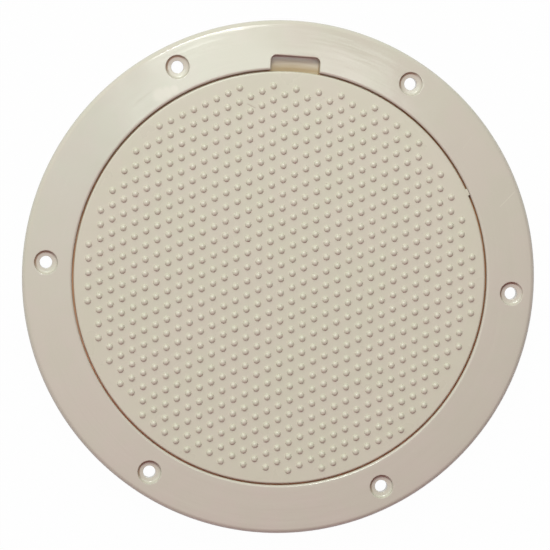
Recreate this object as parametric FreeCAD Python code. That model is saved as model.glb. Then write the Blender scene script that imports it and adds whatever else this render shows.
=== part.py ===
import FreeCAD, Part
import math
import os

# A round inspection plate that is screwed down over a hole in a boat's deck.
# A moulded deck ring carries a pry-out lid, and a seal ring in the lid's skirt grips the ring's bore.
# Millimetres. The underside of the ring's flange, which beds on the deck, is z = 0.
# +Z points up out of the deck, the hatch axis is the origin, and +Y runs through the pry slot.

V = FreeCAD.Vector

# Deck ring, from the clear opening outwards
bore_radius = 76.2
ledge_width = 7.4
flange_width = 19.9
flange_edge_height = 5.2
flange_rim_round = 2.3
lip_height = 7.0
lip_round = 0.9
collar_wall = 3.2
collar_depth = 18.0

# Screw holes with a flat seat for pan heads, the first at 0 degrees
screw_count = 6
screw_inset = 9.4
screw_hole_radius = 2.5
screw_seat_radius = 4.7
screw_seat_depth = 1.8
screw_seat_bevel = 0.9

# Pry slot in the ring's lip, for a screwdriver blade that reaches in under the lid's rim
pry_slot_width = 19.8
pry_slot_reach = 5.6
pry_slot_undercut = 3.2
pry_slot_floor = 1.3
pry_slot_corner = 2.2

# Lid, its plate
lid_clearance = 0.7
lid_thickness = 3.2
lid_edge_round = 0.7
lid_turn = 29.4

# Non-skid domes on the lid, in rows a pitch apart that are each shifted by half a pitch
dome_pitch = 5.08
dome_radius = 1.35
dome_height = 0.9
dome_sides = 3
dome_root = 0.3
dome_margin = 4.35
dome_field_centre = V(-0.18, -0.21, 0.0)
dome_grid_origin = V(0.05, -0.31, 0.0)

# Lid, the small key on its edge that bridges the gap to the ring
edge_key_width = 2.8
edge_key_angle = -0.9
edge_key_step = 0.12
edge_key_clearance = 0.06

# Lid, its skirt and the ribs underneath
skirt_clearance = 0.4
skirt_wall = 2.6
skirt_depth = 8.5
lid_rib_count = 8
lid_rib_width = 2.0
lid_rib_depth = 2.4

# Seal ring of square section, in the skirt's groove right under the lid's rim
seal_section = 2.9
seal_clearance = 0.05
groove_play = 0.3

# Edge rounds are turned as this many short cones
round_steps = 2

# Sizes that follow from those above
recess_radius = bore_radius + ledge_width
flange_radius = recess_radius + flange_width
collar_radius = bore_radius + collar_wall
screw_circle_radius = flange_radius - screw_inset
ledge_height = lip_height - lid_thickness
lid_top = lip_height
lid_radius = recess_radius - lid_clearance
skirt_radius = bore_radius - skirt_clearance
seal_outer_radius = bore_radius - seal_clearance
seal_inner_radius = seal_outer_radius - seal_section
groove_radius = seal_inner_radius - seal_clearance
groove_bottom = ledge_height - seal_section - groove_play
skirt_inner_radius = groove_radius - skirt_wall
skirt_end = ledge_height - skirt_depth
rim_start = flange_radius - flange_rim_round
lip_start = recess_radius + lip_round


def flange_top(radius):
    # Height of the flange, which slopes down from the lip to the rim
    slope = (lip_height - flange_edge_height) / (rim_start - lip_start)
    return lip_height - (radius - lip_start) * slope


def quarter_round(centre_radius, centre_height, size, start_angle, end_angle):
    # Points of a rounded corner in a turned profile, from its first to its last
    points = []
    for step in range(round_steps + 1):
        angle = math.radians(start_angle + (end_angle - start_angle) * step / round_steps)
        points.append((centre_radius + size * math.cos(angle), centre_height + size * math.sin(angle)))
    return points


def turned_profile(points):
    # A closed profile of (radius, height) points, turned about the hatch axis
    corners = [V(radius, 0, height) for radius, height in points]
    face = Part.Face(Part.makePolygon(corners + corners[:1]))
    return face.revolve(V(0, 0, 0), V(0, 0, 1), 360)


def block(low_x, high_x, low_y, high_y, low_z, high_z):
    return Part.makeBox(high_x - low_x, high_y - low_y, high_z - low_z, V(low_x, low_y, low_z))


def turned(shape, degrees):
    copy = shape.copy()
    copy.rotate(V(0, 0, 0), V(0, 0, 1), degrees)
    return copy


def around(shape, count):
    return [turned(shape, 360.0 * index / count) for index in range(count)]


def ring_body():
    # The flange, the ledge under the lid's rim and the collar that drops through the deck
    profile = [(flange_radius, 0)]
    profile += quarter_round(rim_start, flange_edge_height - flange_rim_round, flange_rim_round, 0, 90)
    profile += quarter_round(lip_start, lip_height - lip_round, lip_round, 90, 180)
    profile += [
        (recess_radius, ledge_height),
        (bore_radius, ledge_height),
        (bore_radius, -collar_depth),
        (collar_radius, -collar_depth),
        (collar_radius, 0),
    ]
    return turned_profile(profile)


def screw_hole():
    # One hole at 0 degrees, open past both faces of the flange, with a bevel round its level seat
    seat = V(screw_circle_radius, 0, flange_top(screw_circle_radius) - screw_seat_depth)
    wall = seat + V(0, 0, screw_seat_bevel)
    head = Part.makeCylinder(screw_seat_radius, lip_height, wall)
    bevel = Part.makeCone(screw_seat_radius - screw_seat_bevel, screw_seat_radius, screw_seat_bevel, seat)
    shank = Part.makeCylinder(screw_hole_radius, 3 * lip_height, seat - V(0, 0, 2 * lip_height))
    return head.fuse([bevel, shank])


def pry_slot():
    # A round-cornered pocket in the lip that runs on into the ledge, under the lid's rim
    side = pry_slot_width / 2
    outer = recess_radius + pry_slot_reach
    inner = recess_radius - pry_slot_undercut
    pocket = block(-side, side, inner, outer, pry_slot_floor, 2 * lip_height)
    upright = [edge for edge in pocket.Edges if edge.BoundBox.ZLength > lip_height]
    outer_corners = [edge for edge in upright if edge.BoundBox.YMin > recess_radius]
    return pocket.makeFillet(pry_slot_corner, outer_corners)


def deck_ring():
    return ring_body().cut(around(screw_hole(), screw_count) + [pry_slot()])


def lid_body():
    # The plate, its rounded edge, the seal's groove and the skirt
    profile = [(0, lid_top)]
    profile += quarter_round(lid_radius - lid_edge_round, lid_top - lid_edge_round, lid_edge_round, 90, 0)
    profile += [
        (lid_radius, ledge_height),
        (groove_radius, ledge_height),
        (groove_radius, groove_bottom),
        (skirt_radius, groove_bottom),
        (skirt_radius, skirt_end),
        (skirt_inner_radius, skirt_end),
        (skirt_inner_radius, ledge_height),
        (0, ledge_height),
    ]
    return turned_profile(profile)


def lid_ribs():
    # Radial ribs under the plate, from the hatch axis to the skirt
    side = lid_rib_width / 2
    reach = skirt_inner_radius + skirt_wall / 2
    rib = block(0, reach, -side, side, ledge_height - lid_rib_depth, ledge_height)
    return around(rib, lid_rib_count)


def edge_key():
    # Its outer end follows the ring's recess, and its top lies a hair below the lid's
    reach = recess_radius - edge_key_clearance
    side = edge_key_width / 2
    key = block(lid_radius - lid_edge_round, reach + side, -side, side, ledge_height, lid_top - edge_key_step)
    return turned(key.common(Part.makeCylinder(reach, lid_top)), edge_key_angle)


def dome_places():
    # Every place of the staggered grid whose dome lies in the round field
    field_radius = lid_radius - dome_margin
    reach = int(field_radius / dome_pitch) + 2
    places = []
    for row in range(-reach, reach + 1):
        shift = dome_pitch / 2 if row % 2 else 0.0
        for step in range(-reach, reach + 1):
            place = dome_grid_origin + V(step * dome_pitch - shift, row * dome_pitch, 0)
            if place.distanceToPoint(dome_field_centre) < field_radius:
                places.append(place)
    return places


def dome():
    # One non-skid dome, kept to a few flat sides round the area of the round one, rooted in the plate
    side_angle = 2 * math.pi / dome_sides
    corner_reach = dome_radius * math.sqrt(side_angle / math.sin(side_angle))
    root_reach = corner_reach * (dome_height + dome_root) / dome_height
    tip = V(0, 0, lid_top + dome_height)
    base = []
    for side in range(dome_sides):
        angle = side_angle * side
        base.append(V(root_reach * math.cos(angle), root_reach * math.sin(angle), lid_top - dome_root))
    faces = [Part.Face(Part.makePolygon(base + base[:1]))]
    for side in range(dome_sides):
        following = base[(side + 1) % dome_sides]
        faces.append(Part.Face(Part.makePolygon([base[side], following, tip, base[side]])))
    return Part.Solid(Part.Shell(faces))


def lid():
    plain = lid_body().multiFuse(lid_ribs() + [edge_key()])
    single = dome()
    domes = [single.translated(place) for place in dome_places()]
    return turned(plain.multiFuse(domes), lid_turn)


def seal_ring():
    # It rests on the groove's lower side
    return turned_profile(
        [
            (seal_inner_radius, groove_bottom),
            (seal_outer_radius, groove_bottom),
            (seal_outer_radius, groove_bottom + seal_section),
            (seal_inner_radius, groove_bottom + seal_section),
        ]
    )


os.makedirs("parts", exist_ok=True)
nodes = {"deck_ring": deck_ring, "lid": lid, "seal_ring": seal_ring}
for name, make in nodes.items():
    shape = make()
    print(name, "solids", len(shape.Solids), "volume", round(shape.Volume, 1))
    shape.Solids[0].exportStep("parts/" + name + ".step")
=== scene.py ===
import math
import bmesh
import bpy
from mathutils import Matrix, Vector


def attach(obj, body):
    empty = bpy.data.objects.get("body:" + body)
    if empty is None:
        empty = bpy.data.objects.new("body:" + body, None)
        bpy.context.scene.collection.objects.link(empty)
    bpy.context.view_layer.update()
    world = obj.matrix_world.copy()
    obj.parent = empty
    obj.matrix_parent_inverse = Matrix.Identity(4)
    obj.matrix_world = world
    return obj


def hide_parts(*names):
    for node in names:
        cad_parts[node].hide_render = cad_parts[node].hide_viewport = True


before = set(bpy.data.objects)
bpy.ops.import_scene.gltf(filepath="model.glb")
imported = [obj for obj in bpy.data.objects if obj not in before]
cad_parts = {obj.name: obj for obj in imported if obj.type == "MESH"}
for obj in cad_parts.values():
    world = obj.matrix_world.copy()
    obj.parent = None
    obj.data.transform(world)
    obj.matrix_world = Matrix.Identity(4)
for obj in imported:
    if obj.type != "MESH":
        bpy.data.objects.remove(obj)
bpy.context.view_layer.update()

# A deck inspection plate of almond-beige plastic, seen almost straight from above.
# Metres: the flange beds on z = 0, +Z points out of the deck and +Y runs through the pry slot.
mm = 0.001

# Deck ring, from the clear opening outwards
bore_radius = 76.2 * mm
collar_radius = 79.4 * mm
collar_depth = 18.0 * mm
recess_radius = 83.6 * mm
flange_radius = 103.5 * mm
flange_edge_height = 5.2 * mm
flange_rim_round = 2.3 * mm
rim_start = flange_radius - flange_rim_round
lip_height = 7.0 * mm
lip_round = 0.9 * mm
lip_start = recess_radius + lip_round
flange_slope = (lip_height - flange_edge_height) / (rim_start - lip_start)
flange_crown = 0.07 * mm
flange_bands = 12

# Screw holes with a level seat for pan heads
screw_count = 6
screw_circle_radius = 94.1 * mm
screw_hole_radius = 2.5 * mm
screw_hole_round = 0.2 * mm
screw_seat_radius = 4.7 * mm
screw_seat_depth = 1.8 * mm
screw_seat_bevel = 0.9 * mm
screw_mouth_round = 0.3 * mm
screw_sides = 48
screw_seat_steps = 3

# Pry slot
slot_half_width = 9.9 * mm
slot_reach = 5.6 * mm
slot_undercut = 3.2 * mm
slot_outer = recess_radius + slot_reach
slot_inner = recess_radius - slot_undercut
slot_floor = 1.3 * mm
slot_corner = 2.2 * mm
slot_mouth_round = 0.35 * mm
slot_floor_round = 0.5 * mm
slot_floor_steps = 3

# Lid
lid_clearance = 0.7 * mm
lid_radius = recess_radius - lid_clearance
lid_top = lip_height
lid_thickness = 3.2 * mm
ledge_height = lid_top - lid_thickness
lid_edge_round = 0.7 * mm
lid_flat_radius = lid_radius - lid_edge_round
lid_turn = math.radians(29.4)
skirt_clearance = 0.4 * mm
skirt_radius = bore_radius - skirt_clearance
skirt_inner_radius = 70.6 * mm
skirt_depth = 8.5 * mm
skirt_end = ledge_height - skirt_depth
groove_radius = 73.2 * mm
rib_count = 8
rib_width = 2.0 * mm
rib_depth = 2.4 * mm
rib_root = 1.3 * mm
rib_reach = skirt_inner_radius + rib_root

# Key on the lid's edge
key_width = 2.8 * mm
key_clearance = 0.06 * mm
key_reach = recess_radius - key_clearance
key_step = 0.12 * mm
key_angle = math.radians(-0.9)

# Domes on the lid, in the lid's own orientation; the profile is (radius, height) in millimetres
dome_pitch = 5.08 * mm
dome_margin = 4.35 * mm
dome_field_radius = lid_radius - dome_margin
dome_field_centre = Vector((-0.18, -0.21, 0)) * mm
dome_grid_origin = Vector((0.05, -0.31, 0)) * mm
dome_grid_rows = 35
dome_row_shift = -0.5
dome_sides = 12
dome_profile = [(1.36, 0), (1.25, 0.33), (0.98, 0.63), (0.52, 0.84), (0, 0.9)]

# Seal ring in the groove under the lid's rim
seal_section = 2.9 * mm
seal_clearance = 0.05 * mm
seal_outer_radius = bore_radius - seal_clearance
seal_inner_radius = seal_outer_radius - seal_section
groove_play = 0.3 * mm
groove_bottom = ledge_height - seal_section - groove_play
seal_corner = 0.5 * mm

# Turned pieces and how their faces are smoothed
turn_sides = 360
corner_steps = 6
mouth_steps = 3
mouth_rise = 3
edge_round = 0.25 * mm
weld_distance = 0.01 * mm
cutter_top = 2 * lip_height
smooth_angle = math.radians(31)
large_face_weight = 60


def flange_top(radius):
    # Height of the flange, which slopes down from the lip to the rim with a slight crown between
    share = (radius - lip_start) / (rim_start - lip_start)
    return lip_height - (radius - lip_start) * flange_slope + 4 * flange_crown * share * (1 - share)


class Wire:
    # A node's output that reads as a number in an expression, where each operator adds a Math node

    def __init__(self, tree, socket):
        self.tree = tree
        self.socket = socket

    def maths(self, operation, *terms):
        settings = {"operation": operation}
        values = dict(enumerate(terms))
        return self.tree.add("ShaderNodeMath", settings, values)

    def __add__(self, other):
        return self.maths("ADD", self, other)

    def __radd__(self, other):
        return self.maths("ADD", other, self)

    def __sub__(self, other):
        return self.maths("SUBTRACT", self, other)

    def __rsub__(self, other):
        return self.maths("SUBTRACT", other, self)

    def __mul__(self, other):
        return self.maths("MULTIPLY", self, other)

    def __rmul__(self, other):
        return self.maths("MULTIPLY", other, self)

    def __truediv__(self, other):
        return self.maths("DIVIDE", self, other)

    def __pow__(self, other):
        return self.maths("POWER", self, other)

    def __mod__(self, other):
        return self.maths("FLOORED_MODULO", self, other)

    def __gt__(self, other):
        return self.maths("GREATER_THAN", self, other)

    def __abs__(self):
        return self.maths("ABSOLUTE", self)

    def rounded(self):
        return self.maths("ROUND", self)

    def larger(self, other):
        return self.maths("MAXIMUM", self, other)

    def part(self, name):
        # One of several outputs or components of the same node
        return Wire(self.tree, self.socket.node.outputs[name])


class NodeTree:
    # Makes the nodes of a material or of a Geometry Nodes group

    def __init__(self, tree):
        self.tree = tree

    def add(self, kind, settings=None, values=None):
        # A node of this kind; its settings are made first, then its sockets are set or linked
        node = self.tree.nodes.new(kind)
        for name, setting in (settings or {}).items():
            setattr(node, name, setting)
        for name, value in (values or {}).items():
            for single in value if isinstance(value, list) else [value]:
                if isinstance(single, Wire):
                    self.tree.links.new(single.socket, node.inputs[name])
                else:
                    node.inputs[name].default_value = single
        shown = [socket for socket in node.outputs if socket.enabled]
        return Wire(self, shown[0]) if shown else None

    def vector(self, operation, *terms):
        return self.add("ShaderNodeVectorMath", {"operation": operation}, dict(enumerate(terms)))

    def mix(self, factor, first, second):
        return self.add("ShaderNodeMix", {"data_type": "RGBA"}, {0: factor, 6: first, 7: second})

    def spread(self, value, low, high, new_low=0.0, new_high=1.0):
        # A smooth step from one range to another
        values = {0: value, 1: low, 2: high, 3: new_low, 4: new_high}
        return self.add("ShaderNodeMapRange", {"interpolation_type": "SMOOTHSTEP"}, values)

    def within(self, value, low, high, edge):
        # 1 between two values, with soft edges outside them
        return self.spread(value, low - edge, low) * self.spread(value, high + edge, high)

    def noise(self, vector, size, detail=2.0):
        # Cloudy numbers about 0.5 whose clouds are about this size
        values = {"Vector": vector, "Scale": 1 / size, "Detail": detail}
        return self.add("ShaderNodeTexNoise", None, values)

    def bump(self, height, depth, under=None):
        # Raises the surface by depth where height is 1, on top of another bump
        values = {"Strength": 1, "Distance": depth, "Height": height}
        if under is not None:
            values["Normal"] = under
        return self.add("ShaderNodeBump", None, values)


def tone(red, green, blue):
    # A colour given as 0 to 255 on a screen, as the linear value that nodes take
    linear = []
    for level in (red, green, blue):
        share = level / 255
        linear.append(share / 12.92 if share <= 0.04045 else ((share + 0.055) / 1.055) ** 2.4)
    return (*linear, 1)


# Meshes


def rounded_profile(corners):
    # Points of a closed outline of (radius, height, corner round), with an arc at each rounded corner
    points = []
    for index, (radius, height, size) in enumerate(corners):
        corner = Vector((radius, height))
        if size == 0:
            points.append(corner)
            continue
        back = (Vector(corners[index - 1][:2]) - corner).normalized()
        ahead = (Vector(corners[(index + 1) % len(corners)][:2]) - corner).normalized()
        half = back.angle(ahead) / 2
        centre = corner + (back + ahead).normalized() * size / math.sin(half)
        start = corner + back * size / math.tan(half) - centre
        end = corner + ahead * size / math.tan(half) - centre
        sweep = start.angle_signed(end)
        for step in range(corner_steps + 1):
            turn = Matrix.Rotation(-sweep * step / corner_steps, 2)
            points.append(centre + turn @ start)
    return points


def turned(points, closed=True, sides=turn_sides):
    # A profile of (radius, height) points turned about the hatch axis; points on the axis are poles
    mesh = bmesh.new()
    rings = []
    for radius, height in points:
        if radius == 0:
            rings.append([mesh.verts.new((0, 0, height))] * sides)
            continue
        ring = []
        for side in range(sides):
            angle = 2 * math.pi * side / sides
            ring.append(mesh.verts.new((radius * math.cos(angle), radius * math.sin(angle), height)))
        rings.append(ring)
    pairs = list(zip(rings, rings[1:]))
    if closed:
        pairs.append((rings[-1], rings[0]))
    for first, second in pairs:
        for side in range(sides):
            following = (side + 1) % sides
            corners = [first[side], first[following], second[following], second[side]]
            mesh.faces.new(dict.fromkeys(corners))
    bmesh.ops.recalc_face_normals(mesh, faces=mesh.faces)
    return mesh


def lofted(rings):
    # A closed solid through rings of as many points each, capped at both ends
    mesh = bmesh.new()
    loops = [[mesh.verts.new(point) for point in ring] for ring in rings]
    for first, second in zip(loops, loops[1:]):
        for index in range(len(first)):
            following = (index + 1) % len(first)
            mesh.faces.new((first[index], first[following], second[following], second[index]))
    mesh.faces.new(loops[0])
    mesh.faces.new(loops[-1])
    bmesh.ops.recalc_face_normals(mesh, faces=mesh.faces)
    return mesh


def piece(name, mesh, *materials):
    # An object at the origin from a bmesh, which it uses up
    data = bpy.data.meshes.new(name)
    mesh.to_mesh(data)
    mesh.free()
    made = bpy.data.objects.new(name, data)
    bpy.context.collection.objects.link(made)
    for material in materials:
        data.materials.append(material)
    return made


def applied(made):
    # Turns what the modifiers give into the object's own mesh and removes them
    graph = bpy.context.evaluated_depsgraph_get()
    result = bpy.data.meshes.new_from_object(made.evaluated_get(graph))
    made.modifiers.clear()
    made.data = result
    result.name = made.name


def combine(made, other, operation):
    # Cuts or joins another solid, which is then gone
    solid = made.modifiers.new(operation, "BOOLEAN")
    solid.operation = operation
    solid.solver = "EXACT"
    solid.use_self = operation == "UNION"
    solid.object = other
    applied(made)
    bpy.data.objects.remove(other)


def smoothed(made):
    # Smooth faces with crisp edges, where large faces keep the normals of their own plane
    for polygon in made.data.polygons:
        polygon.use_smooth = True
    made.data.set_sharp_from_angle(angle=smooth_angle)
    weighted = made.modifiers.new("weighted_normals", "WEIGHTED_NORMAL")
    weighted.keep_sharp = True
    weighted.weight = large_face_weight
    applied(made)


# Deck ring


def round_levels(size):
    # (outward offset, depth) of a rounded mouth, from above the surface down to the wall
    levels = []
    for step in range(1, mouth_steps + 1):
        angle = math.pi / 2 * step / mouth_steps
        levels.append((size * (1 - math.sin(angle)), size * (1 - math.cos(angle))))
    offset, depth = levels[0]
    rise = mouth_rise * depth
    levels.insert(0, (offset + rise * (size - offset) / depth, depth - rise))
    return levels


def screw_cutter(index):
    # The hole's mouth follows the slope of the flange, its seat and lower end are level
    angle = 2 * math.pi * index / screw_count
    centre = Vector((math.cos(angle), math.sin(angle), 0)) * screw_circle_radius
    seat = flange_top(screw_circle_radius) - screw_seat_depth

    def ring(radius, depth=None, height=None):
        points = []
        for side in range(screw_sides):
            turn = 2 * math.pi * side / screw_sides
            point = centre + Vector((math.cos(turn), math.sin(turn), 0)) * radius
            point.z = height if depth is None else flange_top(point.xy.length) - depth
            points.append(point)
        return points

    levels = round_levels(screw_mouth_round)
    rings = [ring(screw_seat_radius + levels[0][0], height=cutter_top)]
    rings += [ring(screw_seat_radius + offset, depth=depth) for offset, depth in levels]
    for step in range(screw_seat_steps + 1):
        corner = math.pi / 2 * step / screw_seat_steps
        inset = screw_seat_bevel * (1 - math.cos(corner))
        rise = screw_seat_bevel * (1 - math.sin(corner))
        rings.append(ring(screw_seat_radius - inset, height=seat + rise))
    third = screw_hole_round / 3
    rings.append(ring(screw_hole_radius + screw_hole_round, height=seat))
    rings.append(ring(screw_hole_radius + third, height=seat - third))
    rings.append(ring(screw_hole_radius, height=seat - screw_hole_round))
    rings.append(ring(screw_hole_radius, height=-lip_height))
    return lofted(rings)


def slot_outline(offset):
    # A rectangle grown by offset, with round corners on its outer side and small ones under the lid
    wide = slot_half_width + offset
    far = slot_outer + offset
    near = slot_inner - offset
    points = []
    for side, y, size, start in (
        (1, far, slot_corner + offset, 0),
        (-1, far, slot_corner + offset, 90),
        (-1, near, slot_floor_round + offset, 180),
        (1, near, slot_floor_round + offset, 270),
    ):
        centre = Vector((side * (wide - size), y - size if y == far else y + size))
        for step in range(corner_steps + 1):
            angle = math.radians(start + 90 * step / corner_steps)
            points.append(centre + Vector((math.cos(angle), math.sin(angle))) * size)
    return points


def slot_cutter():
    # The pocket's mouth follows the slope of the flange, and its floor is level and rounded off
    rings = []
    levels = round_levels(slot_mouth_round)
    rings.append([(x, y, cutter_top) for x, y in slot_outline(levels[0][0])])
    for offset, depth in levels:
        rings.append([(x, y, flange_top(math.hypot(x, y)) - depth) for x, y in slot_outline(offset)])
    for step in range(slot_floor_steps + 1):
        angle = math.pi / 2 * step / slot_floor_steps
        offset = slot_floor_round * (math.cos(angle) - 1)
        height = slot_floor + slot_floor_round * (1 - math.sin(angle))
        rings.append([(x, y, height) for x, y in slot_outline(offset)])
    return lofted(rings)


def make_ring(material):
    # The turned ring with its screw holes and pry slot cut out
    corners = [
        (flange_radius, 0, edge_round),
        (flange_radius, flange_top(flange_radius), flange_rim_round),
    ]
    for band in range(1, flange_bands):
        radius = rim_start + (lip_start - rim_start) * band / flange_bands
        corners.append((radius, flange_top(radius), 0))
    corners += [
        (recess_radius, flange_top(recess_radius), lip_round),
        (recess_radius, ledge_height, edge_round),
        (bore_radius, ledge_height, edge_round),
        (bore_radius, -collar_depth, edge_round),
        (collar_radius, -collar_depth, edge_round),
        (collar_radius, 0, edge_round),
    ]
    made = piece("ring_moulding", turned(rounded_profile(corners)), material)
    for index in range(screw_count):
        combine(made, piece("screw_cutter", screw_cutter(index)), "DIFFERENCE")
    combine(made, piece("slot_cutter", slot_cutter()), "DIFFERENCE")
    smoothed(made)
    return made


# Lid


def domed_plate_tree():
    # The lid's flat top: it takes one dome, repeats it over the field and fills the plate between
    group = bpy.data.node_groups.new("domed_plate", "GeometryNodeTree")
    inputs = [
        ("Geometry", "NodeSocketGeometry", None),
        ("Pitch", "NodeSocketFloat", dome_pitch),
        ("Rows", "NodeSocketInt", dome_grid_rows),
        ("Grid Origin", "NodeSocketVector", dome_grid_origin),
        ("Field Centre", "NodeSocketVector", dome_field_centre),
        ("Field Radius", "NodeSocketFloat", dome_field_radius),
        ("Dome Radius", "NodeSocketFloat", dome_profile[0][0] * mm),
        ("Dome Sides", "NodeSocketInt", dome_sides),
        ("Plate Radius", "NodeSocketFloat", lid_flat_radius),
        ("Plate Sides", "NodeSocketInt", turn_sides),
        ("Plate Height", "NodeSocketFloat", lid_top),
        ("Material", "NodeSocketMaterial", None),
    ]
    for name, kind, value in inputs:
        socket = group.interface.new_socket(name, in_out="INPUT", socket_type=kind)
        if value is not None:
            socket.default_value = value
    group.interface.new_socket("Geometry", in_out="OUTPUT", socket_type="NodeSocketGeometry")

    nodes = NodeTree(group)
    given = nodes.add("NodeGroupInput")
    pitch = given.part("Pitch")
    rows = given.part("Rows")
    reach = (rows - 1) * pitch
    grid = nodes.add("GeometryNodeMeshGrid", None, {0: reach, 1: reach, 2: rows, 3: rows})
    place = nodes.add("ShaderNodeSeparateXYZ", None, {0: nodes.add("GeometryNodeInputPosition")})
    row = (place.part("Y") / pitch).rounded()
    shift = (row % 2) * pitch * dome_row_shift
    offset = nodes.add("ShaderNodeCombineXYZ", None, {"X": shift})
    moved = nodes.vector("ADD", offset, given.part("Grid Origin"))
    grid = nodes.add("GeometryNodeSetPosition", None, {"Geometry": grid, "Offset": moved})
    here = nodes.add("GeometryNodeInputPosition")
    apart = nodes.vector("DISTANCE", here, given.part("Field Centre")).part("Value")
    outside = apart > given.part("Field Radius")
    grid = nodes.add("GeometryNodeDeleteGeometry", None, {"Geometry": grid, "Selection": outside})
    points = nodes.add("GeometryNodeMeshToPoints", None, {"Mesh": grid})
    domes = nodes.add(
        "GeometryNodeInstanceOnPoints", None, {"Points": points, "Instance": given.part("Geometry")}
    )
    foot = nodes.add(
        "GeometryNodeCurvePrimitiveCircle",
        None,
        {"Resolution": given.part("Dome Sides"), "Radius": given.part("Dome Radius")},
    )
    feet = nodes.add("GeometryNodeInstanceOnPoints", None, {"Points": points, "Instance": foot})
    feet = nodes.add("GeometryNodeRealizeInstances", None, {"Geometry": feet})
    rim = nodes.add(
        "GeometryNodeCurvePrimitiveCircle",
        None,
        {"Resolution": given.part("Plate Sides"), "Radius": given.part("Plate Radius")},
    )
    outline = nodes.add("GeometryNodeJoinGeometry", None, {"Geometry": [feet, rim]})
    plate = nodes.add("GeometryNodeFillCurve", None, {"Curve": outline})
    both = nodes.add("GeometryNodeJoinGeometry", None, {"Geometry": [domes, plate]})
    height = nodes.add("ShaderNodeCombineXYZ", None, {"Z": given.part("Plate Height")})
    both = nodes.add("GeometryNodeTransform", None, {"Geometry": both, "Translation": height})
    both = nodes.add("GeometryNodeRealizeInstances", None, {"Geometry": both})
    both = nodes.add(
        "GeometryNodeSetMaterial", None, {"Geometry": both, "Material": given.part("Material")}
    )
    nodes.add("NodeGroupOutput", None, {"Geometry": both})
    return group


def make_domed_plate(material):
    # One dome goes into the tree, and the plate with all its domes comes out
    points = [(radius * mm, height * mm) for radius, height in dome_profile]
    dome = turned(points, closed=False, sides=dome_sides)
    made = piece("domed_plate", dome, material)
    modifier = made.modifiers.new("domed_plate", "NODES")
    modifier.node_group = domed_plate_tree()
    for item in modifier.node_group.interface.items_tree:
        if item.name == "Material" and item.in_out == "INPUT":
            modifier[item.identifier] = material
    applied(made)
    return made


def rib_star():
    # The outline of ribs that cross on the hatch axis, raised from their lower side into the plate
    side = rib_width / 2
    step = 2 * math.pi / rib_count
    rings = []
    for height, inset in (
        (ledge_height + side, 0),
        (ledge_height - rib_depth + edge_round, 0),
        (ledge_height - rib_depth, edge_round),
    ):
        ring = []
        for index in range(rib_count):
            along = Matrix.Rotation(step * index, 2)
            between = Matrix.Rotation(step * (index - 0.5), 2)
            ring.append(between @ Vector(((side - inset) / math.sin(step / 2), 0)))
            ring.append(along @ Vector((rib_reach, inset - side)))
            ring.append(along @ Vector((rib_reach, side - inset)))
        rings.append([(x, y, height) for x, y in ring])
    return lofted(rings)


def key_block():
    # It bridges the gap: its outer end follows the ring's recess, and its upper edges are rounded off
    side = key_width / 2
    rings = []
    for height, inset in (
        (ledge_height + edge_round, 0),
        (lid_top - key_step - edge_round, 0),
        (lid_top - key_step - edge_round / 4, edge_round / 4),
        (lid_top - key_step, edge_round),
    ):
        ring = [(lid_flat_radius, inset - side), (lid_flat_radius, side - inset)]
        for share in (1, 0.5, 0, -0.5, -1):
            y = share * (side - inset)
            ring.append((math.sqrt((key_reach - inset) ** 2 - y**2), y))
        rings.append([(x, y, height) for x, y in ring])
    mesh = lofted(rings)
    mesh.transform(Matrix.Rotation(key_angle, 4, "Z"))
    return mesh


def make_lid(material):
    # The turned lid with its ribs and key joined on; the domed plate takes the place of its flat top
    corners = [
        (0, lid_top, 0),
        (lid_radius, lid_top, lid_edge_round),
        (lid_radius, ledge_height, edge_round),
        (groove_radius, ledge_height, 0),
        (groove_radius, groove_bottom, 0),
        (skirt_radius, groove_bottom, edge_round),
        (skirt_radius, skirt_end, 2 * edge_round),
        (skirt_inner_radius, skirt_end, 2 * edge_round),
        (skirt_inner_radius, ledge_height, 2 * edge_round),
        (0, ledge_height, 0),
    ]
    made = piece("lid_moulding", turned(rounded_profile(corners), closed=False), material)
    combine(made, piece("ribs", rib_star()), "UNION")
    combine(made, piece("key", key_block()), "UNION")
    plate = make_domed_plate(material)
    mesh = bmesh.new()
    mesh.from_mesh(made.data)
    below_top = lid_top - key_step
    poles = [vertex for vertex in mesh.verts if vertex.co.z > below_top and vertex.co.xy.length < mm]
    bmesh.ops.delete(mesh, geom=poles, context="VERTS")
    mesh.from_mesh(plate.data)
    bmesh.ops.remove_doubles(mesh, verts=mesh.verts, dist=weld_distance)
    mesh.transform(Matrix.Rotation(lid_turn, 4, "Z"))
    mesh.to_mesh(made.data)
    mesh.free()
    bpy.data.objects.remove(plate)
    smoothed(made)
    return made


def make_seal(material):
    # A square ring with rounded corners
    corners = [
        (seal_inner_radius, groove_bottom, seal_corner),
        (seal_outer_radius, groove_bottom, seal_corner),
        (seal_outer_radius, groove_bottom + seal_section, seal_corner),
        (seal_inner_radius, groove_bottom + seal_section, seal_corner),
    ]
    made = piece("seal_moulding", turned(rounded_profile(corners)), material)
    smoothed(made)
    return made


# Finishes: tones, then sizes and depths of patterns, then single marks

ring_tone = tone(206.5, 196, 185.5)
ring_tone_other = tone(204.5, 196.5, 184)
lid_tone = tone(207.5, 198, 184)
lid_tone_other = tone(206, 198.5, 182.5)
# Painted shade for the screws' seats
seat_shade_tone = tone(150, 112, 82)
# Painted shade for the gap round the lid, brown and, towards the lower side, paler
gap_shade_tone = tone(192, 144, 104)
gap_pale_shade_tone = tone(236, 186, 148)
# A painted highlight, the lamp's glare on the flange
painted_highlight_tone = tone(222, 209, 200)
# Painted warm shade for the pry slot's floor
slot_shade_tone = tone(186, 160, 124)
scratch_tone = tone(226, 222, 206)
speck_tone = tone(160, 140, 132)
rubber_tone = tone(36, 35, 34)
rubber_bloom_tone = tone(52, 50, 48)

index_of_refraction = 1.5
cloud_low = 0.35
cloud_high = 0.65
cloud_detail = 4
smudge_detail = 3
wave_detail = 1
grain_detail = 3

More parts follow.
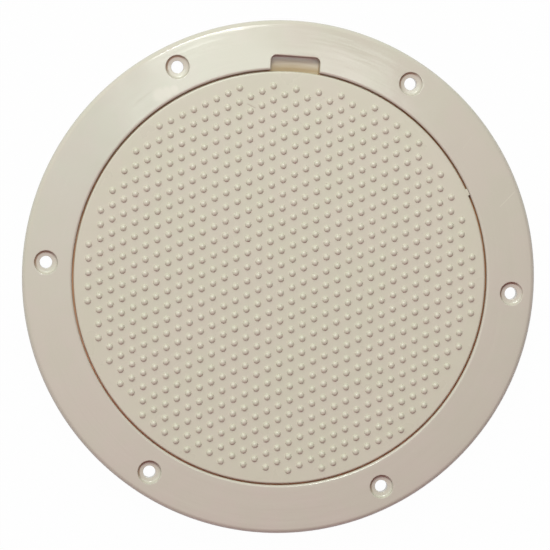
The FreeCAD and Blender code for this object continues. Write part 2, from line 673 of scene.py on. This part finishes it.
ring_cloud_size = 14 * mm
ring_smudge_size = 16 * mm
ring_roughness_low = 0.12
ring_roughness_high = 0.17
ring_wave_size = 18 * mm
ring_wave_depth = 0.2 * mm
streak_width = 3 * mm
streak_length = 40 * mm
streak_depth = 0.09 * mm
ring_grain_size = 0.4 * mm
ring_grain_depth = 0.002 * mm

lid_cloud_size = 12 * mm
lid_smudge_size = 11 * mm
lid_roughness_low = 0.27
lid_roughness_high = 0.34
lid_wave_size = 22 * mm
lid_wave_depth = 0.02 * mm
lid_grain_size = 0.5 * mm
lid_grain_depth = 0.004 * mm

rubber_bloom_size = 5 * mm
rubber_bloom_low = 0.4
rubber_bloom_high = 0.7
rubber_roughness = 0.5
rubber_bloom_roughness = 0.15
rubber_grain_size = 0.3 * mm
rubber_grain_depth = 0.01 * mm

# Painted shade in the gap round the lid, and where it turns paler towards the lower side
ring_gap_inner = recess_radius - 1 * mm
ring_gap_outer = recess_radius + 0.1 * mm
ring_gap_head = lip_height - 1.4 * mm
lid_gap_inner = lid_radius - 0.2 * mm
lid_gap_head = lid_top - 1.3 * mm
gap_wall_edge = 0.15 * mm
gap_head_edge = 0.25 * mm
gap_patch_size = 9 * mm
gap_patch_low = 0.25
gap_patch_high = 0.6
gap_patch_least = 0.8
gap_pale_y = -70 * mm
gap_brown_y = 30 * mm

# Painted warm shade on the pry slot's floor
slot_shade_half_width = 11 * mm
slot_shade_low = 0.9 * mm
slot_shade_high = 3 * mm
slot_side_edge = 0.3 * mm
slot_height_edge = 0.5 * mm

# Painted shade round the screws' seats, between these radii
seat_shade_inner = screw_seat_radius - 0.75 * mm
seat_shade_outer = screw_seat_radius - 0.1 * mm
seat_shade_edge = 0.15 * mm
seat_shade_share = 0.7
seat_shade_turn = -0.2

# Scratches are (start, end, width, strength) and round marks (x, y, radius), seen from above in
# millimetres
ring_scratches = [
    ((86.8, 34.8), (92.4, 41.2), 0.16, 1),
    ((69.9, 57.1), (73.2, 62.0), 0.14, 0.6),
    ((89.6, 44.6), (92.3, 49.4), 0.12, 0.6),
]
scratch_share = 0.35
scratch_roughness = 0.15
scratch_depth = 0.01 * mm
# Round patches of painted highlight, where the lamp's glare lies on the flange
ring_painted_highlights = [(-53.4, 69.8, 3.8), (-50.6, 71, 3.2), (-47.8, 72.3, 2.4)]
painted_highlight_share = 0.5
lid_specks = [(33.8, -2.5, 0.35), (-12.4, -21.7, 0.3), (13.3, -58.5, 0.3), (15.8, -37.2, 0.25)]
lid_dent = ((-17.95, 68.6), (-15.04, 67.4), 0.3)
dent_depth = 0.05 * mm
speck_share = 0.4
mark_core = 0.3
spot_core = 0.4
top_tolerance = 0.05 * mm


class Finish:
    # A material with the places and distances on its piece that its tones, painted shade and marks go
    # by

    def __init__(self, name):
        self.material = bpy.data.materials.new(name)
        self.material.use_nodes = True
        self.material.node_tree.nodes.clear()
        self.nodes = NodeTree(self.material.node_tree)
        self.place = self.nodes.add("ShaderNodeTexCoord").part("Object")
        split = self.nodes.add("ShaderNodeSeparateXYZ", None, {0: self.place})
        self.x = split.part("X")
        self.y = split.part("Y")
        self.height = split.part("Z")
        self.radius = (self.x * self.x + self.y * self.y) ** 0.5

    def close(self, base, roughness, normal):
        values = {
            "Base Color": base,
            "Roughness": roughness,
            "IOR": index_of_refraction,
            "Normal": normal,
        }
        surface = self.nodes.add("ShaderNodeBsdfPrincipled", None, values)
        self.nodes.add("ShaderNodeOutputMaterial", None, {"Surface": surface})
        return self.material

    def around_axis(self, size, along):
        # Noise drawn out round the hatch axis, as a turned mould leaves it
        values = {"X": self.x / along, "Y": self.y / along, "Z": self.radius / size}
        drawn = self.nodes.add("ShaderNodeCombineXYZ", None, values)
        return self.nodes.noise(drawn, 1)

    def line(self, start, end, width):
        # 1 along a fine scratch between two points seen from above, 0 beside it
        start = Vector(start) * mm
        end = Vector(end) * mm
        along = (end - start).normalized()
        middle = (start + end) / 2
        x = self.x - middle.x
        y = self.y - middle.y
        past_end = abs(x * along.x + y * along.y) - (end - start).length / 2
        beside = abs(x * along.y - y * along.x)
        return self.nodes.spread(past_end.larger(beside), width * mm, mark_core * width * mm)

    def spot(self, x, y, size):
        # 1 at a round mark seen from above, 0 away from it
        apart = ((self.x - x * mm) ** 2 + (self.y - y * mm) ** 2) ** 0.5
        return self.nodes.spread(apart, size * mm, spot_core * size * mm)

    def clouds(self, size, first, second):
        # Two tones that drift into each other
        cloud = self.nodes.noise(self.place, size, cloud_detail)
        return self.nodes.mix(self.nodes.spread(cloud, cloud_low, cloud_high), first, second)

    def smudges(self, size, low, high):
        # A roughness that changes in smudges
        smudge = self.nodes.noise(self.place, size, smudge_detail)
        return self.nodes.spread(smudge, cloud_low, cloud_high, low, high)

    def waves(self, size, depth):
        # A low unevenness of the moulding
        return self.nodes.bump(self.nodes.noise(self.place, size, wave_detail), depth)

    def grain(self, size, depth, under=None):
        # A fine grain on top of another bump
        return self.nodes.bump(self.nodes.noise(self.place, size, grain_detail), depth, under)


def gap_shade(finish, inner, outer, head):
    # Painted brown shade in the narrow gap round the lid, broken up here and there
    nodes = finish.nodes
    ring = nodes.within(finish.radius, inner, outer, gap_wall_edge)
    deep = nodes.within(finish.height, ledge_height, head, gap_head_edge)
    patchy = nodes.noise(finish.place, gap_patch_size)
    patchy = nodes.spread(patchy, gap_patch_low, gap_patch_high, gap_patch_least, 1)
    return ring * deep * patchy


def gap_shade_colour(finish):
    # The painted shade in the gap is paler towards the lower side, opposite the pry slot
    nodes = finish.nodes
    return nodes.mix(nodes.spread(finish.y, gap_pale_y, gap_brown_y), gap_pale_shade_tone, gap_shade_tone)


def seat_shade(finish):
    # Painted brown shade at the foot of the wall round each screw's seat, on its upper left side,
    # where the wall's shadow falls
    nodes = finish.nodes
    painted_shade = 0
    for index in range(screw_count):
        angle = 2 * math.pi * index / screw_count
        x = finish.x - screw_circle_radius * math.cos(angle)
        y = finish.y - screw_circle_radius * math.sin(angle)
        apart = (x * x + y * y) ** 0.5
        wall = nodes.within(apart, seat_shade_inner, seat_shade_outer, seat_shade_edge)
        painted_shade = wall * nodes.spread((y - x) / apart, seat_shade_turn, 1) + painted_shade
    return painted_shade


def slot_shade(finish):
    # 1 inside the pry slot, near its floor
    nodes = finish.nodes
    side = nodes.within(finish.x, -slot_shade_half_width, slot_shade_half_width, slot_side_edge)
    reach = nodes.within(finish.radius, slot_inner, slot_outer + mm, slot_side_edge)
    low = nodes.within(finish.height, slot_shade_low, slot_shade_high, slot_height_edge)
    return side * reach * (low * (finish.y > 0))


def make_ring_plastic():
    # Shiny almond plastic with faint clouds, drawn-out moulding streaks and light scratches, with
    # painted shade in the gap, the pry slot and the screws' seats and a painted highlight on the
    # flange
    finish = Finish("ring_plastic")
    nodes = finish.nodes
    base = finish.clouds(ring_cloud_size, ring_tone, ring_tone_other)
    slot = slot_shade(finish)
    # Painted warm shade on the pry slot's floor, strongest by the lid
    base = nodes.mix(slot * nodes.spread(finish.radius, slot_outer, recess_radius), base, slot_shade_tone)
    # Painted brown shade in the gap round the lid, but not in the pry slot
    painted_shade = gap_shade(finish, ring_gap_inner, ring_gap_outer, ring_gap_head)
    base = nodes.mix(painted_shade * (1 - slot), base, gap_shade_colour(finish))
    # Painted shade on the upper left side of each screw's seat
    base = nodes.mix(seat_shade(finish) * seat_shade_share, base, seat_shade_tone)

    # Painted highlight: round patches where the lamp's glare lies on the flange
    painted_highlight = 0
    for mark in ring_painted_highlights:
        painted_highlight = finish.spot(*mark).larger(painted_highlight)
    base = nodes.mix(painted_highlight * painted_highlight_share, base, painted_highlight_tone)
    scratches = 0
    for start, end, width, strength in ring_scratches:
        scratches = finish.line(start, end, width) * strength + scratches
    base = nodes.mix(scratches * scratch_share, base, scratch_tone)

    roughness = finish.smudges(ring_smudge_size, ring_roughness_low, ring_roughness_high)
    roughness += scratches * scratch_roughness
    normal = finish.waves(ring_wave_size, ring_wave_depth)
    normal = nodes.bump(finish.around_axis(streak_width, streak_length), streak_depth, normal)
    normal = finish.grain(ring_grain_size, ring_grain_depth, normal)
    normal = nodes.bump(scratches, -scratch_depth, normal)
    return finish.close(base, roughness, normal)


def make_lid_plastic():
    # The same plastic with a satin top, a few specks of grit, one short dent and painted shade on its
    # edge in the gap
    finish = Finish("lid_plastic")
    nodes = finish.nodes
    base = finish.clouds(lid_cloud_size, lid_tone, lid_tone_other)
    # Painted brown shade on the lid's edge, down in the gap
    painted_shade = gap_shade(finish, lid_gap_inner, key_reach, lid_gap_head)
    base = nodes.mix(painted_shade, base, gap_shade_colour(finish))

    on_top = finish.height > lid_top - top_tolerance
    specks = 0
    for mark in lid_specks:
        specks = finish.spot(*mark) + specks
    dent = finish.line(*lid_dent) * on_top
    base = nodes.mix((specks * on_top + dent) * speck_share, base, speck_tone)

    roughness = finish.smudges(lid_smudge_size, lid_roughness_low, lid_roughness_high)
    normal = finish.waves(lid_wave_size, lid_wave_depth)
    normal = finish.grain(lid_grain_size, lid_grain_depth, normal)
    normal = nodes.bump(dent, -dent_depth, normal)
    return finish.close(base, roughness, normal)


def make_seal_rubber():
    # Black rubber with a dull bloom and a fine grain
    finish = Finish("seal_rubber")
    nodes = finish.nodes
    bloom = nodes.noise(finish.place, rubber_bloom_size, cloud_detail)
    bloom = nodes.spread(bloom, rubber_bloom_low, rubber_bloom_high)
    base = nodes.mix(bloom, rubber_tone, rubber_bloom_tone)
    roughness = bloom * rubber_bloom_roughness + rubber_roughness
    return finish.close(base, roughness, finish.grain(rubber_grain_size, rubber_grain_depth))


ring_plastic = make_ring_plastic()
lid_plastic = make_lid_plastic()
seal_rubber = make_seal_rubber()

ring = make_ring(ring_plastic)
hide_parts("deck_ring")
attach(ring, "ring")

lid = make_lid(lid_plastic)
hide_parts("lid")
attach(lid, "lid")

seal = make_seal(seal_rubber)
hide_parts("seal_ring")
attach(seal, "lid")


# Studio; the camera's lens and sensor are in millimetres, as Blender takes them

camera_place = Vector((-95.63, 52.68, 1161.65)) * mm
camera_forward = Vector((0.08051, -0.04445, -0.99576))
camera_up = Vector((-0.06711, 0.9965, -0.04991))
camera_lens = 189.03
sensor_width = 36
camera_near = 10 * mm
image_up = Vector((-0.067, 0.9965, 0))
floor_gap = 0.05 * mm
floor_height = -collar_depth - floor_gap
floor_half_size = 4
floor_grey = (0.5, 0.5, 0.5, 1)
floor_white_share = 0.985
white = (1, 1, 1, 1)
lamp_distance = 1.1
key_lamp = {
    "azimuth": 11,
    "elevation": 60,
    "width": 0.24,
    "height": 0.24,
    "power": 4.95,
    "colour": (0.95, 1, 0.96),
}
high_panel = {
    "azimuth": -11.5,
    "elevation": 76.5,
    "width": 0.44,
    "height": 0.25,
    "power": 1.3,
    "colour": (0.88, 1, 0.92),
}

# Soft glows of the room: azimuth and elevation in degrees, narrowness and colour
room_glows = [
    (0, 25, 3, (0.97, 1.06, 0.93)),
    (60, 25, 3, (0.72, 0.82, 0.74)),
    (180, 25, 3, (0.28, 0.06, 0.08)),
    (0, 68, 12, (0.18, 0.2, 0.14)),
    (60, 68, 12, (0.2, 0.19, 0.22)),
    (180, 68, 12, (0.7, 0.34, 0.5)),
    (45, 78, 60, (0, 0.75, 0.75)),
]
glow_floor = 0.0001


def add_camera():
    # The view that the grid of domes gives in the photo
    data = bpy.data.cameras.new("camera")
    data.sensor_width = sensor_width
    data.lens = camera_lens
    data.clip_start = camera_near
    camera = bpy.data.objects.new("camera", data)
    bpy.context.collection.objects.link(camera)
    back = -camera_forward.normalized()
    right = camera_up.cross(back).normalized()
    up = back.cross(right)
    turn = Matrix((right, up, back)).transposed().to_4x4()
    camera.matrix_world = Matrix.Translation(camera_place) @ turn
    bpy.context.scene.camera = camera


def towards(azimuth, elevation):
    # A direction in the room; its azimuth is counted from the image's top, to the left
    level = Matrix.Rotation(math.radians(azimuth), 3, "Z") @ image_up
    rise = math.radians(elevation)
    return level * math.cos(rise) + Vector((0, 0, math.sin(rise)))


def add_lamp(name, azimuth, elevation, width, height, power, colour):
    # A soft rectangular lamp that shines at the hatch axis
    data = bpy.data.lights.new(name, "AREA")
    data.shape = "RECTANGLE"
    data.size = width
    data.size_y = height
    data.energy = power
    data.color = colour
    lamp = bpy.data.objects.new(name, data)
    bpy.context.collection.objects.link(lamp)
    direction = towards(azimuth, elevation)
    lamp.location = direction * lamp_distance
    lamp.rotation_euler = direction.to_track_quat("Z", "Y").to_euler()


def white_to_camera(nodes, surface):
    # White where the camera, gloss or glass looks straight at it, with a small share of the surface
    path = nodes.add("ShaderNodeLightPath")
    seen = path.part("Is Camera Ray").larger(path.part("Is Glossy Ray"))
    seen = seen.larger(path.part("Is Transmission Ray"))
    glow = nodes.add("ShaderNodeEmission", None, {"Color": white, "Strength": 1})
    return nodes.add("ShaderNodeMixShader", None, {0: seen * floor_white_share, 1: surface, 2: glow})


def add_floor():
    # A plain pale floor that keeps the part's shadow
    material = bpy.data.materials.new("studio_floor")
    material.use_nodes = True
    material.node_tree.nodes.clear()
    nodes = NodeTree(material.node_tree)
    matt = nodes.add("ShaderNodeBsdfDiffuse", None, {"Color": floor_grey})
    nodes.add("ShaderNodeOutputMaterial", None, {"Surface": white_to_camera(nodes, matt)})
    mesh = bmesh.new()
    bmesh.ops.create_grid(mesh, x_segments=1, y_segments=1, size=floor_half_size)
    mesh.transform(Matrix.Translation((0, 0, floor_height)))
    piece("studio_floor", mesh, material)


def set_world():
    # A dim room with soft glows, which the camera sees as white
    world = bpy.data.worlds.new("studio")
    bpy.context.scene.world = world
    world.use_nodes = True
    world.node_tree.nodes.clear()
    nodes = NodeTree(world.node_tree)
    direction = nodes.add("ShaderNodeTexCoord").part("Generated")
    colour = (0, 0, 0)
    for azimuth, elevation, narrowness, glow in room_glows:
        facing = nodes.vector("DOT_PRODUCT", direction, towards(azimuth, elevation)).part("Value")
        share = facing.larger(glow_floor) ** narrowness
        colour = nodes.vector("MULTIPLY_ADD", share, glow, colour)
    path = nodes.add("ShaderNodeLightPath")
    seen = path.part("Is Camera Ray").larger(path.part("Is Transmission Ray"))
    soft = nodes.add("ShaderNodeBackground", None, {"Color": colour, "Strength": 1})
    plain = nodes.add("ShaderNodeBackground", None, {"Color": white, "Strength": 1})
    surface = nodes.add("ShaderNodeMixShader", None, {0: seen, 1: soft, 2: plain})
    nodes.add("ShaderNodeOutputWorld", None, {"Surface": surface})


add_camera()
add_lamp("key_lamp", **key_lamp)
add_lamp("high_panel", **high_panel)
add_floor()
set_world()
bpy.context.scene.view_settings.view_transform = "Standard"
